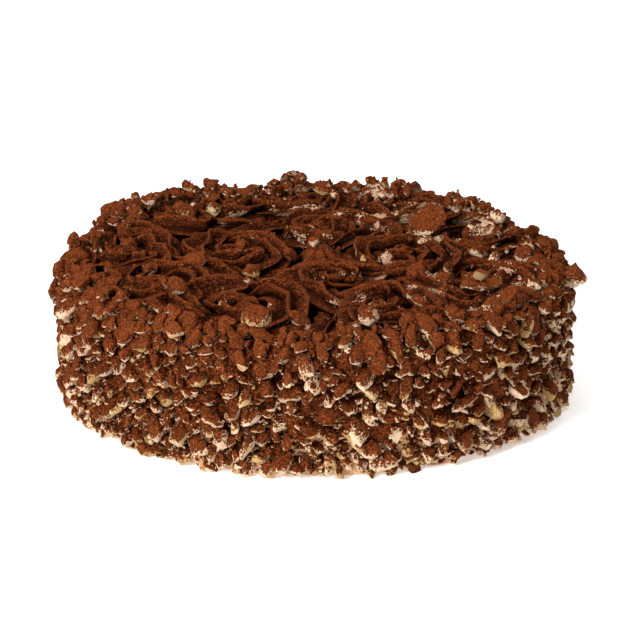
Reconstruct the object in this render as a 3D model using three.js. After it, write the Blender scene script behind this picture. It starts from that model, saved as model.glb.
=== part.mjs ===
// A round chocolate torte, 24 cm across and 7.6 cm tall, standing on its own flat base.
// A drum of cream-coated cake carries piped cream rosettes: ten round the rim, four inside
// them and a small kiss in the middle. A thick coat of chopped nuts is pressed round the side
// and climbs the rim rosettes, and the largest nut pieces lie on top.
// Everything is dusted with cocoa. Millimetres, +Z up, origin in the middle of the base.
import * as THREE from "three";
import { ConvexGeometry } from "three/addons/geometries/ConvexGeometry.js";

const GAP = 0.3; // air between two pieces that touch
const FULL_TURN = 2 * Math.PI;

// The drum of cake under the cream.
const DRUM_RADIUS = 111;
const DRUM_HEIGHT = 52;
const DRUM_EDGE = 3; // rounding of the drum's top edge
const DRUM_SEGMENTS = 48;

// The coat of chopped nuts round the side.
const COAT_INNER = DRUM_RADIUS + GAP;
const COAT_FOOT = 117.5; // outer radius at the base
const COAT_WIDEST = 119.5; // mean outer radius high up, before the bumps
const COAT_VALLEY = 57; // height of its top edge between two rosettes
const COAT_LIP = 1.5; // how far it laps over a rosette's outer face
const COAT_BUMP = 2.4; // how far single nuts stand out of it or leave dents in it
const COAT_AROUND = 84;

// The piped rosettes: ropes of cream coiled round a middle, ridged by a star nozzle.
const ROSETTE_HEIGHT = 16;
const ROSETTE_AROUND = 20;
const ROSETTE_RINGS = 11;
const ROSETTE_FULLNESS = 0.75; // 1 is a round dome, less is flatter on top and steeper at the side
const RIDGES = 4; // ridges crossed from foot to crown
const RIDGE_ARMS = 2; // how many of them wind inwards side by side
const RIDGE_DEPTH = 2.4;

// Each rosette: [bearing in degrees from +X, distance from the middle, radius, height share].
const RIM_ROSETTES = [
  [-112, 83.5, 34, 1.02],
  [-70, 86, 33.5, 0.98],
  [-24, 86, 35, 0.88],
  [22, 86, 35, 0.86],
  [61, 87, 33, 0.96],
  [96, 87, 31, 1.02],
  [122, 87, 28, 1.02],
  [149, 87.5, 30, 1.1],
  [-176, 84, 30, 1.04],
  [-145, 83.5, 31, 1.0],
];
const INNER_ROSETTES = [
  [-81, 41.5, 31, 0.9],
  [0, 39, 31, 0.92],
  [83, 38, 30.5, 0.96],
  [176, 36, 31, 0.94],
];

// The kiss in the middle: one short press of the nozzle, with upright petals.
const KISS = [0, 4, 12.5, 0.98];
const KISS_PETALS = 6;
const KISS_RINGS = 5;
const KISS_GROOVE = 0.24; // depth between two petals, as a share of the radius

// The largest nut pieces: [x, y, length, width, thickness, turn in degrees].
const PLACED_NUTS = [
  [52, 30, 22, 20, 6, -35],
  [74, 54, 22, 10, 6, -28],
  [74, -2, 24, 14, 8, 12],
  [96, 6, 11, 10, 8, 80],
  [57, -33, 11, 9, 6, 40],
  [109, 17, 12, 9, 6, 70],
  [107, -27, 13, 10, 7, 15],
  [84, 42, 15, 9, 5, -35],
  [75, -47, 22, 13, 6, -8],
  [92, -55, 12, 10, 7, 20],
  [45, -29, 10, 9, 5, 10],
  [-64, 79, 11, 10, 9, 20],
  [-52, 83, 11, 9, 8, 65],
  [-36, 87, 12, 8, 8, 10],
  [-62, 54, 13, 9, 8, 0],
  [-49, 59, 9, 9, 8, 50],
  [-9, 99, 9, 8, 8, 10],
  [4, 91, 14, 10, 8, 150],
  [29, 90, 13, 9, 6, 5],
  [42, 88, 10, 9, 8, 40],
  [-96, 50, 13, 10, 9, 160],
  [-86, -2, 12, 8, 7, 110],
  [-55, -17, 14, 11, 7, 35],
  [-74, -31, 10, 8, 6, 70],
  [-34, 6, 11, 7, 7, 95],
  [-11, -5, 11, 7, 6, 60],
  [-28, -21, 9, 8, 8, 30],
  [-61, -64, 12, 10, 8, -20],
  [-25, -101, 14, 13, 9, 25],
  [-7, -93, 14, 8, 6, -12],
  [22, -99, 11, 9, 8, 70],
  [40, -96, 11, 10, 8, 140],
  [45, -72, 12, 7, 6, 118],
];

// More of them, near the rim where the list above leaves it bare.
const RIM_NUT_BEARINGS = [-55, -42, 49, 147, 173, -167, -152, -124];
const RIM_NUT_DISTANCE = 104;
const RIM_NUT_SIZE = [11, 8.5, 7];
const NUT_CORNERS = 14;
const FEEL_STEP = 0.6; // spacing of the spots where a nut feels for what is under it
const SLOPE_REACH = 0.45; // how far to each side it feels for the slope, as a share of its length

const COCOA = new THREE.Color(0.36, 0.19, 0.11);
const CREAM = new THREE.Color(0.87, 0.72, 0.58);

// Cream or nut with this much of its colour hidden under the cocoa, from 0 to 1.
function dusted(cover) {
  return new THREE.MeshStandardMaterial({
    color: CREAM.clone().lerp(COCOA, cover),
    roughness: 0.95,
    metalness: 0,
  });
}

const drumMaterial = dusted(0);
const coatMaterial = dusted(0.75);
const rosetteMaterial = dusted(1);
const nutMaterial = dusted(0.85);

const degrees = THREE.MathUtils.degToRad;

// A smooth, repeatable unevenness round the cake, between -1 and 1.
function waver(angle, height) {
  return (
    0.5 * Math.sin(7 * angle + 0.11 * height) +
    0.3 * Math.sin(13 * angle - 0.23 * height + 1.1) +
    0.2 * Math.sin(23 * angle + 0.31 * height + 2.3)
  );
}

function named(name, geometry, material) {
  const mesh = new THREE.Mesh(geometry, material);
  mesh.name = name;
  return mesh;
}

function indexed(points, index) {
  const geometry = new THREE.BufferGeometry();
  geometry.setAttribute("position", new THREE.Float32BufferAttribute(points.flat(), 3));
  geometry.setIndex(index);
  return geometry;
}

// A closed shell from rings of points, foot to crown, closed by a point at each end.
function shellFromRings(rings, footPoint, crownPoint) {
  const around = rings[0].length;
  const foot = rings.length * around;
  const crown = foot + 1;
  const index = [];
  for (let step = 0; step < around; step++) {
    const next = (step + 1) % around;
    index.push(foot, next, step);
    for (let low = 0; low + around < foot; low += around) {
      const high = low + around;
      index.push(low + step, low + next, high + next);
      index.push(low + step, high + next, high + step);
    }
    const top = foot - around;
    index.push(top + step, top + next, crown);
  }
  return indexed([...rings.flat(), footPoint, crownPoint], index);
}

// The cake drum: a turned profile with a rounded top edge.
function makeDrum() {
  const profile = [new THREE.Vector2(0, 0), new THREE.Vector2(DRUM_RADIUS, 0)];
  for (const share of [0, 0.5, 1]) {
    const turn = (share * Math.PI) / 2;
    const inward = DRUM_EDGE * (1 - Math.cos(turn));
    const below = DRUM_EDGE * (1 - Math.sin(turn));
    profile.push(new THREE.Vector2(DRUM_RADIUS - inward, DRUM_HEIGHT - below));
  }
  profile.push(new THREE.Vector2(0, DRUM_HEIGHT));
  const geometry = new THREE.LatheGeometry(profile, DRUM_SEGMENTS);
  geometry.rotateX(Math.PI / 2); // the lathe turns round Y
  return named("cake_drum", geometry, drumMaterial);
}

// Where a rosette stands in plan.
function centreOf([bearing, distance]) {
  return new THREE.Vector2(distance, 0).rotateAround(new THREE.Vector2(), degrees(bearing));
}

// How high the coat reaches at this bearing: up to the outer face of the rosette behind it.
function coatTopAt(angle) {
  const wall = new THREE.Vector2(COAT_INNER, 0).rotateAround(new THREE.Vector2(), angle);
  let top = COAT_VALLEY;
  for (const place of RIM_ROSETTES) {
    const [, , radius, share] = place;
    const out = Math.min(wall.distanceTo(centreOf(place)) / radius, 1);
    const climb = Math.acos(out ** (1 / ROSETTE_FULLNESS));
    const face = DRUM_HEIGHT + ROSETTE_HEIGHT * share * Math.sin(climb) ** ROSETTE_FULLNESS;
    top = Math.max(top, face + COAT_LIP);
  }
  return top;
}

// The nut coat's section at one bearing: [radius, height, share of the bumps that it feels].
function coatSection(top) {
  return [
    [COAT_INNER, 0, 0],
    [COAT_FOOT, 0, 0.3],
    [COAT_FOOT + 0.5, 0.1 * top, 1],
    [COAT_FOOT + 0.5, 0.28 * top, 1],
    [COAT_FOOT + 1, 0.46 * top, 1],
    [COAT_WIDEST, 0.64 * top, 1],
    [COAT_WIDEST, 0.8 * top, 1],
    [COAT_WIDEST - 1.6, 0.92 * top, 1],
    [COAT_INNER + 3, top, 0.4],
    [COAT_INNER, top - 0.5, 0],
  ];
}

// The nut coat: its bumpy section carried round the drum.
function makeCoat() {
  const points = [];
  for (let step = 0; step < COAT_AROUND; step++) {
    const angle = (FULL_TURN * step) / COAT_AROUND;
    const top = coatTopAt(angle);
    for (const [radius, height, share] of coatSection(top)) {
      const out = radius + COAT_BUMP * share * waver(angle, height);
      points.push([out * Math.cos(angle), out * Math.sin(angle), height]);
    }
  }
  const across = points.length / COAT_AROUND;
  const index = [];
  for (let here = 0; here < points.length; here += across) {
    const there = (here + across) % points.length;
    for (let place = 0; place < across; place++) {
      const next = (place + 1) % across;
      index.push(here + place, there + place, there + next);
      index.push(here + place, there + next, here + next);
    }
  }
  return named("nut_coat", indexed(points, index), coatMaterial);
}

// How far a rosette can spread this way before it is pressed flat against its neighbours or
// against the coat. Two rosettes press along the line where their circles would cross.
function roomToward(place, others, angle) {
  const centre = centreOf(place);
  const along = new THREE.Vector2(Math.cos(angle), Math.sin(angle));
  const inward = centre.dot(along);
  let room = Math.sqrt(DRUM_RADIUS ** 2 - centre.lengthSq() + inward ** 2) - inward;
  for (const other of others) {
    if (other === place) continue;
    const apart = centreOf(other).sub(centre);
    const spacing = apart.length();
    const wall = (spacing ** 2 + place[2] ** 2 - other[2] ** 2) / (2 * spacing) - GAP / 2;
    const facing = apart.dot(along) / spacing;
    if (facing > 0) room = Math.min(room, wall / facing);
  }
  return room;
}

// A rosette: a full dome pressed against its neighbours, with ridges that wind up to its crown.
function makeCoil(name, place, others) {
  const [bearing, , radius, share] = place;
  const height = ROSETTE_HEIGHT * share;
  const rings = [];
  for (let row = 0; row < ROSETTE_RINGS; row++) {
    const climb = row / ROSETTE_RINGS;
    const out = Math.cos((climb * Math.PI) / 2) ** ROSETTE_FULLNESS;
    const up = Math.sin((climb * Math.PI) / 2) ** ROSETTE_FULLNESS;
    const ring = [];
    for (let step = 0; step < ROSETTE_AROUND; step++) {
      const angle = (FULL_TURN * step) / ROSETTE_AROUND;
      const winding = RIDGES * climb + (RIDGE_ARMS * (angle - degrees(bearing))) / FULL_TURN;
      const groove = RIDGE_DEPTH * (0.5 - 0.5 * Math.cos(FULL_TURN * winding));
      const room = roomToward(place, others, angle);
      const reach = Math.min(radius * out, room) - groove * out;
      const rise = Math.max(height * up - groove * up, 0.55 * height * up);
      ring.push([reach * Math.cos(angle), reach * Math.sin(angle), rise]);
    }
    rings.push(ring);
  }
  return named(name, shellFromRings(rings, [0, 0, 0], [0, 0, height]), rosetteMaterial);
}

// The kiss: a small peaked dome, parted into petals.
function makeKiss(place, others) {
  const [, , radius, share] = place;
  const height = ROSETTE_HEIGHT * share;
  const around = 4 * KISS_PETALS;
  const rings = [];
  for (let row = 0; row < KISS_RINGS; row++) {
    const climb = row / KISS_RINGS;
    const ring = [];
    for (let step = 0; step < around; step++) {
      const angle = (FULL_TURN * step) / around;
      const groove = KISS_GROOVE * (0.5 - 0.5 * Math.cos(KISS_PETALS * angle));
      const spread = radius * Math.cos((climb * Math.PI) / 2) ** 0.6;
      const reach = Math.min(spread, roomToward(place, others, angle)) * (1 - groove);
      ring.push([reach * Math.cos(angle), reach * Math.sin(angle), height * climb]);
    }
    rings.push(ring);
  }
  return named("centre_kiss", shellFromRings(rings, [0, 0, 0], [0, 0, height]), rosetteMaterial);
}

function makeRosettes() {
  const coils = [...RIM_ROSETTES, ...INNER_ROSETTES];
  const others = [...coils, KISS];
  const meshes = coils.map((place, number) => {
    return makeCoil(`rosette_${String(number + 1).padStart(2, "0")}`, place, others);
  });
  meshes.push(makeKiss(KISS, others));
  meshes.forEach((mesh, number) => {
    const centre = centreOf(others[number]);
    mesh.position.set(centre.x, centre.y, DRUM_HEIGHT + GAP);
  });
  return meshes;
}

// A chopped nut: flat faces between corners spread evenly over an egg, each knocked in or out.
function makeNut(number, length, width, thickness) {
  const corners = [];
  for (let corner = 0; corner < NUT_CORNERS; corner++) {
    const up = 1 - (2 * corner + 1) / NUT_CORNERS;
    const turn = corner * Math.PI * (3 - Math.sqrt(5)) + number;
    const out = Math.sqrt(1 - up * up);
    const knock = 0.5 + 0.09 * Math.sin(2.4 * corner + 1.7 * number);
    const point = new THREE.Vector3(out * Math.cos(turn), out * Math.sin(turn), up);
    corners.push(point.multiplyScalar(knock).multiply(new THREE.Vector3(length, width, thickness)));
  }
  return named(`nut_${String(number + 1).padStart(2, "0")}`, new ConvexGeometry(corners), nutMaterial);
}

// Straight drops and lifts that feel where a piece is at one spot in plan.
const feeler = new THREE.Raycaster();
const FEELER_START = 200;

function topAt(meshes, x, y) {
  feeler.set(new THREE.Vector3(x, y, FEELER_START), new THREE.Vector3(0, 0, -1));
  const hits = feeler.intersectObjects(meshes, false);
  return hits.length ? hits[0].point.z : 0;
}

function undersideAt(mesh, x, y) {
  feeler.set(new THREE.Vector3(x, y, -FEELER_START), new THREE.Vector3(0, 0, 1));
  const hits = feeler.intersectObject(mesh, false);
  return hits.length ? hits[0].point.z : Infinity;
}

// Turns a nut flat against the slope of the bed at its place.
function tiltNut(nut, x, y, length, turn, bed) {
  const reach = SLOPE_REACH * length;
  const slopeX = (topAt(bed, x + reach, y) - topAt(bed, x - reach, y)) / (2 * reach);
  const slopeY = (topAt(bed, x, y + reach) - topAt(bed, x, y - reach)) / (2 * reach);
  const upward = new THREE.Vector3(-slopeX, -slopeY, 1).normalize();
  nut.quaternion.setFromUnitVectors(new THREE.Vector3(0, 0, 1), upward);
  nut.rotateZ(degrees(turn));
  nut.position.set(x, y, 0);
  nut.updateMatrixWorld(true);
}

// Lowers a nut straight down until it touches. Each spot of its underside is kept clear of the
// highest of the spots round it, so that it also stays clear of steep faces beside it.
function lowerNut(nut, bed) {
  const box = new THREE.Box3().setFromObject(nut, true);
  const columns = Math.ceil((box.max.x - box.min.x) / FEEL_STEP) + 3;
  const rows = Math.ceil((box.max.y - box.min.y) / FEEL_STEP) + 3;
  const spots = [];
  for (let row = 0; row < rows; row++) {
    for (let column = 0; column < columns; column++) {
      const x = box.min.x + (column - 1) * FEEL_STEP;
      const y = box.min.y + (row - 1) * FEEL_STEP;
      spots.push({ under: undersideAt(nut, x, y), top: topAt(bed, x, y) });
    }
  }
  const round = [0, -1, 1, -columns, columns, -columns - 1, columns + 1, 1 - columns, columns - 1];
  const clear = spots.map(({ under }, spot) => {
    const tops = round.map((step) => spots[spot + step]?.top ?? 0);
    return under - Math.max(...tops);
  });
  nut.position.z = GAP - Math.min(...clear);
  nut.updateMatrixWorld(true);
}

function addNuts(torte) {
  const placed = [...PLACED_NUTS];
  RIM_NUT_BEARINGS.forEach((bearing, step) => {
    const spot = centreOf([bearing, RIM_NUT_DISTANCE + 3 * Math.sin(3 * step)]);
    const size = RIM_NUT_SIZE.map((side) => side * (1 + 0.12 * Math.sin(4 * step + side)));
    placed.push([spot.x, spot.y, ...size, 70 * step]);
  });
  placed.forEach(([x, y, length, width, thickness, turn], number) => {
    const nut = makeNut(number, length, width, thickness);
    const bed = [...torte.children];
    tiltNut(nut, x, y, length, turn, bed);
    lowerNut(nut, bed);
    torte.add(nut);
  });
}

const torte = new THREE.Group();
torte.add(makeDrum(), makeCoat(), ...makeRosettes());
torte.updateMatrixWorld(true);
addNuts(torte);

// The bumps are uneven, so the whole is slid until its box is centred on the origin.
const middle = new THREE.Box3().setFromObject(torte, true).getCenter(new THREE.Vector3());
torte.position.set(-middle.x, -middle.y, 0);

export default torte;
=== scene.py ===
import math

import bpy
import numpy as np
from mathutils import Matrix, Vector
from mathutils.bvhtree import BVHTree


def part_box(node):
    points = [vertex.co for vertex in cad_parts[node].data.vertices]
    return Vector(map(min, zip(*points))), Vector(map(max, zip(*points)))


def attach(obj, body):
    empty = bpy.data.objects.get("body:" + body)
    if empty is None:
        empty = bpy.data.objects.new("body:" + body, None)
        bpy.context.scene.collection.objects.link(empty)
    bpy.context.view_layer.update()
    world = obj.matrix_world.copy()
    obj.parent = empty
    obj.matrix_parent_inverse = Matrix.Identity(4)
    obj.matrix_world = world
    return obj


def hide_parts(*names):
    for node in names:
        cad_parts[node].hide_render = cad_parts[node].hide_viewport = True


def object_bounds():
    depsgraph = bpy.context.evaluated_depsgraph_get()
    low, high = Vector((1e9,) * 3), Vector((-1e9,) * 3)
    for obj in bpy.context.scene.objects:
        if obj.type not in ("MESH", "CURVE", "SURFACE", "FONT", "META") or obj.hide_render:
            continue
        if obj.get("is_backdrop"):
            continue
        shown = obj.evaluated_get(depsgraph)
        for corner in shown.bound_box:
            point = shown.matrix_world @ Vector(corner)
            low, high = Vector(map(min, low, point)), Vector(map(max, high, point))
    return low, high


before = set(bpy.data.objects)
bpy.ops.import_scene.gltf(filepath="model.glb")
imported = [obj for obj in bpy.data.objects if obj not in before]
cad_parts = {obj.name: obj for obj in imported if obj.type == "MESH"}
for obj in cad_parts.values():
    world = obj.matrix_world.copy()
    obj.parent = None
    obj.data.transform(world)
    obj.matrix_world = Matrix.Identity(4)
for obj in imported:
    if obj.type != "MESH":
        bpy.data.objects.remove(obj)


# ---------------------------------------------------------------- the room
# A white table in a bright room, under a large soft lamp at the front left and a weaker one
# overhead. The camera looks down on the torte by about 20 degrees. Places are in metres.

MM = 0.001
cad_low, cad_high = (np.array(corner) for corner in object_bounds())
TORTE_HEIGHT = cad_high[2] - cad_low[2]
CAMERA_ELEVATION = math.radians(19.6)
CAMERA_DISTANCE = 1.18
CAMERA_LENS = 143
AIM = Vector((3.0 * MM, 0.0, 30.5 * MM))
ROOM_LIGHT = 0.18
TABLE_REACH = 6
TABLE_GLOW = 0.365
CRISP_ANGLE = math.radians(45)


def aim_at(thing, place, target):
    """Puts a lamp or camera at a place with its -Z axis towards the target."""
    turn = (target - place).to_track_quat("-Z", "Y")
    thing.matrix_world = Matrix.Translation(place) @ turn.to_matrix().to_4x4()


camera = bpy.data.objects.new("camera", bpy.data.cameras.new("camera"))
camera.data.lens = CAMERA_LENS
camera.data.clip_start = 0.01
bpy.context.collection.objects.link(camera)
backwards = Vector((0, -math.cos(CAMERA_ELEVATION), math.sin(CAMERA_ELEVATION)))
aim_at(camera, AIM + CAMERA_DISTANCE * backwards, AIM)
bpy.context.scene.camera = camera


def softbox(name, place, size, power):
    """A square lamp of that size in metres and power in watts, facing the torte."""
    lamp = bpy.data.objects.new(name, bpy.data.lights.new(name, "AREA"))
    lamp.data.size = size
    lamp.data.energy = power
    bpy.context.collection.objects.link(lamp)
    aim_at(lamp, Vector(place), Vector((0, 0, TORTE_HEIGHT / 2)))


softbox("front_softbox", (-0.86, -1.08, 0.78), 0.42, 28.5)
softbox("overhead_softbox", (0.2, 0.3, 1.2), 0.8, 10.4)

world = bpy.data.worlds.new("white_room")
world.use_nodes = True
world.node_tree.nodes["Background"].inputs["Color"].default_value = (1, 1, 1, 1)
world.node_tree.nodes["Background"].inputs["Strength"].default_value = ROOM_LIGHT
bpy.context.scene.world = world
bpy.context.scene.view_settings.view_transform = "Standard"


class Signal:
    """One socket of a material. Sums, differences and products of values add Math nodes."""

    def __init__(self, finish, socket):
        self.finish = finish
        self.socket = socket

    def maths(self, operation, first, second):
        """The socket of a Math node that works on two sockets or numbers."""
        return self.finish.node("ShaderNodeMath", {"operation": operation}, {0: first, 1: second})

    def __add__(self, other):
        return self.maths("ADD", self, other)

    def __radd__(self, other):
        return self.maths("ADD", other, self)

    def __sub__(self, other):
        return self.maths("SUBTRACT", self, other)

    def __mul__(self, other):
        return self.maths("MULTIPLY", self, other)

    def __rmul__(self, other):
        return self.maths("MULTIPLY", other, self)


class Finish:
    """A material built of nodes. Each method gives back the socket that it makes."""

    def __init__(self, name):
        self.material = bpy.data.materials.new(name)
        self.material.use_nodes = True
        self.material.node_tree.nodes.clear()

    def node(self, kind, settings=None, inputs=None, output=0):
        """Any node: its settings are set first, then the values or links of its sockets."""
        made = self.material.node_tree.nodes.new(kind)
        for key, value in (settings or {}).items():
            setattr(made, key, value)
        for key, value in (inputs or {}).items():
            if isinstance(value, Signal):
                self.material.node_tree.links.new(value.socket, made.inputs[key])
            else:
                made.inputs[key].default_value = value
        return Signal(self, made.outputs[output]) if made.outputs else None

    def place(self):
        """Where a spot is, in metres along X, Y and Z."""
        return self.node("ShaderNodeTexCoord", output="Object")

    def along(self, axis):
        """How far along X, Y or Z a spot is, in metres."""
        return self.node("ShaderNodeSeparateXYZ", {}, {0: self.place()}, axis)

    def attribute(self, name):
        """A number kept at the mesh's points, or 0 on a mesh that keeps none of that name."""
        return self.node("ShaderNodeAttribute", {"attribute_name": name}, {}, "Fac")

    def noise(self, size, detail=2.0, roughness=0.5):
        """Noise from 0 to 1 whose largest features are of that size in metres."""
        inputs = {"Vector": self.place(), "Scale": 1 / size, "Detail": detail, "Roughness": roughness}
        return self.node("ShaderNodeTexNoise", {}, inputs)

    def ease(self, value, low, high):
        """0 below low, 1 above high, and a smooth rise between."""
        inputs = {"Value": value, "From Min": low, "From Max": high}
        return self.node("ShaderNodeMapRange", {"interpolation_type": "SMOOTHSTEP"}, inputs)

    def blend(self, share, first, second):
        """The second colour over the first, by that share. A Mix node's colour sockets are its
        seventh and eighth, and its mixed colour is its third output."""
        return self.node("ShaderNodeMix", {"data_type": "RGBA"}, {0: share, 6: first, 7: second}, 2)

    def surface(self, colour, roughness, relief=None, depth=0.0, **constants):
        """The finished material, raised by depth metres where relief is 1."""
        inputs = {"Base Color": colour, "Roughness": roughness}
        if relief is not None:
            inputs["Normal"] = self.node("ShaderNodeBump", {}, {"Height": relief, "Distance": depth})
        for name, value in constants.items():
            inputs[name.replace("_", " ")] = value
        shader = self.node("ShaderNodeBsdfPrincipled", {}, inputs)
        self.node("ShaderNodeOutputMaterial", {}, {"Surface": shader})
        return self.material


def new_piece(name, points, faces, material, crisp=False, **attributes):
    """A mesh object from an array of points and arrays of three- or four-cornered faces, with
    numbers kept at its points. A crisp one has sharp edges wherever it turns by CRISP_ANGLE."""
    mesh = bpy.data.meshes.new(name)
    mesh.vertices.add(len(points))
    mesh.vertices.foreach_set("co", np.ascontiguousarray(points, dtype=np.float32).ravel())
    corners = np.concatenate([each.ravel() for each in faces])
    sides = np.concatenate([np.full(len(each), each.shape[1]) for each in faces])
    mesh.loops.add(len(corners))
    mesh.loops.foreach_set("vertex_index", corners.astype(np.int32))
    mesh.polygons.add(len(sides))
    mesh.polygons.foreach_set("loop_start", (np.cumsum(sides) - sides).astype(np.int32))
    mesh.update(calc_edges=True)
    mesh.validate()
    mesh.polygons.foreach_set("use_smooth", np.full(len(mesh.polygons), True))
    if crisp:
        mesh.set_sharp_from_angle(angle=CRISP_ANGLE)
    mesh.attributes.new("cocoa_reach_and_shade", "FLOAT", "POINT")
    for key, values in attributes.items():
        mesh.attributes.new(key, "FLOAT", "POINT").data.foreach_set("value", values.astype(np.float32))
    mesh.materials.append(material)
    piece = bpy.data.objects.new(name, mesh)
    bpy.context.collection.objects.link(piece)
    return piece


table_finish = Finish("white_table")
table_tint = table_finish.blend(table_finish.noise(0.4), (0.93, 0.93, 0.93, 1), (0.95, 0.95, 0.95, 1))
table = new_piece(
    "table",
    TABLE_REACH * np.array([[-1, -1, 0], [1, -1, 0], [1, 1, 0], [-1, 1, 0]]),
    [np.array([[0, 1, 2, 3]])],
    table_finish.surface(table_tint, 0.6, Emission_Color=(1, 1, 1, 1), Emission_Strength=TABLE_GLOW),
)
table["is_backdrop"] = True


# ---------------------------------------------------------------- cake drum
# The sponge and cream inside are hidden: what shows is the whipped cream spread over them,
# a pinkish beige, as uneven as a spatula leaves it, with cocoa sifted over the top.

CREAM = (0.86, 0.55, 0.36, 1)
COCOA_DARK = (0.026, 0.0048, 0.0011, 1)
COCOA_LIGHT = (0.25, 0.0585, 0.0155, 1)
COCOA_THIN = (0.50, 0.22, 0.08, 1)
PATCH, CLUMP, SPECK = 16 * MM, 3.5 * MM, 1.0 * MM
DRIFT, MOTTLE, GRAIN = 6 * MM, 1.7 * MM, 0.8 * MM
WORN_PATCH = 15 * MM
WORN_FROM, WORN_TO = -90 * MM, 60 * MM
POWDER_GLOSS = 0.03
DRUM_AROUND = 240
LATTICE_PRIMES = np.array([73856093, 19349663, 83492791])
LATTICE_HEIGHTS = 4093


def value_noise(points, size, seed):
    """Random heights from -1 to 1 on a cubic grid of that spacing, eased between its corners."""
    heights = np.random.default_rng(seed).uniform(-1, 1, LATTICE_HEIGHTS)
    place = points / size
    cell = np.floor(place).astype(np.int64)
    share = place - cell
    share = share * share * (3 - 2 * share)
    total = np.zeros(points.shape[:-1])
    for corner in np.ndindex(2, 2, 2):
        key = (cell + corner) @ LATTICE_PRIMES
        weight = np.prod(np.where(corner, share, 1 - share), axis=-1)
        total += weight * heights[(key ^ (key >> 13)) % LATTICE_HEIGHTS]
    return total


def tube_faces(rows, around, closed=False):
    """Four-cornered faces between neighbouring rings of a grid of points, rows by around. A
    closed one joins its last ring to its first."""
    here = np.arange(rows * around).reshape(rows, around)
    if closed:
        here = np.vstack([here, here[:1]])
    beside = np.roll(here, -1, axis=1)
    return np.stack([here[:-1], beside[:-1], beside[1:], here[1:]], axis=-1).reshape(-1, 4)


def capped_rings(rings):
    """Points and faces of a closed skin: rings one above another, and a fan at each end round
    the middle of the end ring. The two middles are its last points."""
    rows, around, _ = rings.shape
    ends = np.array([rings[0].mean(axis=0), rings[-1].mean(axis=0)])
    points = np.vstack([rings.reshape(-1, 3), ends])
    first, last = np.arange(around), np.arange(around) + (rows - 1) * around
    foot = np.stack([np.roll(first, -1), first, np.full(around, rows * around)], axis=-1)
    crown = np.stack([last, np.roll(last, -1), np.full(around, rows * around + 1)], axis=-1)
    return points, [tube_faces(rows, around), foot, crown]


def turned(radius, height, around):
    """Rings of a turned shape: each (radius, height) of its profile carried round the Z axis."""
    angle = np.linspace(0, 2 * np.pi, around, endpoint=False)
    radius, height = np.broadcast_arrays(radius[:, None], height[:, None])
    return np.stack([radius * np.cos(angle), radius * np.sin(angle), height + 0 * angle], axis=-1)


def cocoa_over(finish, bare, hold, worn_share=0.75, out_share=0.4, speckled=1.6, flecks=0.0):
    """Cocoa sifted over a bare colour. Its layer is 0.75 * how far a face looks up + out_share *
    how far it looks outward + 0.7 * (the share of the sifted cocoa that reaches the point, 0 to 1,
    less a half) + hold - worn_share * wear, which comes in patches, most of them at the right. Noise
    breaks its edge into patches, clumps and specks: speckled is the specks' share, and flecks
    adds to it where it is worn. The layer covers the bare colour where it is above 0 and tints
    it a little below that. Cocoa is lighter by grain, mottle and drift. Painted shade makes it
    darker where little of the sifted cocoa reaches, and darker again where the painted shading
    attribute is above 0; where that attribute is below 0 it is lighter, a painted highlight.
    Gives the colour, and the grain for the relief."""
    place = finish.place()
    normal = finish.node("ShaderNodeNewGeometry", output="Normal")
    level = finish.node("ShaderNodeVectorMath", {"operation": "MULTIPLY"}, {0: place, 1: (1, 1, 0)})
    outward = finish.node("ShaderNodeVectorMath", {"operation": "NORMALIZE"}, {0: level})
    both = {0: normal, 1: outward}
    facing_out = finish.node("ShaderNodeVectorMath", {"operation": "DOT_PRODUCT"}, both, "Value")
    facing_up = finish.node("ShaderNodeSeparateXYZ", {}, {0: normal}, "Z")
    cocoa_reach_and_shade = finish.attribute("cocoa_reach_and_shade")
    hollow = finish.attribute("hollow")
    patches = finish.noise(PATCH) - 0.5
    clumps = finish.noise(CLUMP) - 0.5
    specks = finish.noise(SPECK, 2, 0.6) - 0.5
    worn = finish.ease(finish.noise(WORN_PATCH, 1), 0.45, 0.7)
    worn = worn * finish.ease(finish.along("X"), WORN_FROM, WORN_TO)
    layer = 0.75 * facing_up + out_share * facing_out + 0.7 * (cocoa_reach_and_shade - 0.5) + hold - worn_share * worn
    layer = layer + 0.7 * patches + 0.6 * clumps + (speckled + flecks * worn) * specks
    cover = finish.ease(layer, -0.08, 0.08)
    thin = 0.6 * finish.ease(layer, -0.6, 0.1)
    grain = finish.ease(finish.noise(GRAIN, 2, 0.6), 0.4, 0.6)
    drift = finish.ease(finish.noise(DRIFT, 3), 0.35, 0.65)
    mottle = finish.ease(finish.noise(MOTTLE, 2, 0.6), 0.36, 0.64)
    # Painted shade: the cocoa is darker where little sifted cocoa reaches and where the painted shading
    # attribute is above 0, with a painted highlight where it is below 0.
    shade = 0.75 * grain + 0.34 * mottle + 0.2 * drift + 0.8 * cocoa_reach_and_shade - 0.6 - 0.6 * hollow
    cocoa = finish.blend(finish.ease(shade, -0.2, 1.35), COCOA_DARK, COCOA_LIGHT)
    return finish.blend(cover, finish.blend(thin, bare, COCOA_THIN), cocoa), grain


cream_finish = Finish("cocoa_on_cream")
cream_colour, cream_grain = cocoa_over(cream_finish, CREAM, 0.1)
cream_relief = 0.6 * cream_grain + 0.4 * cream_finish.noise(2.5 * MM)
cream_material = cream_finish.surface(
    cream_colour, 0.9, cream_relief, 0.35 * MM, Specular_IOR_Level=POWDER_GLOSS
)

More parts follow.
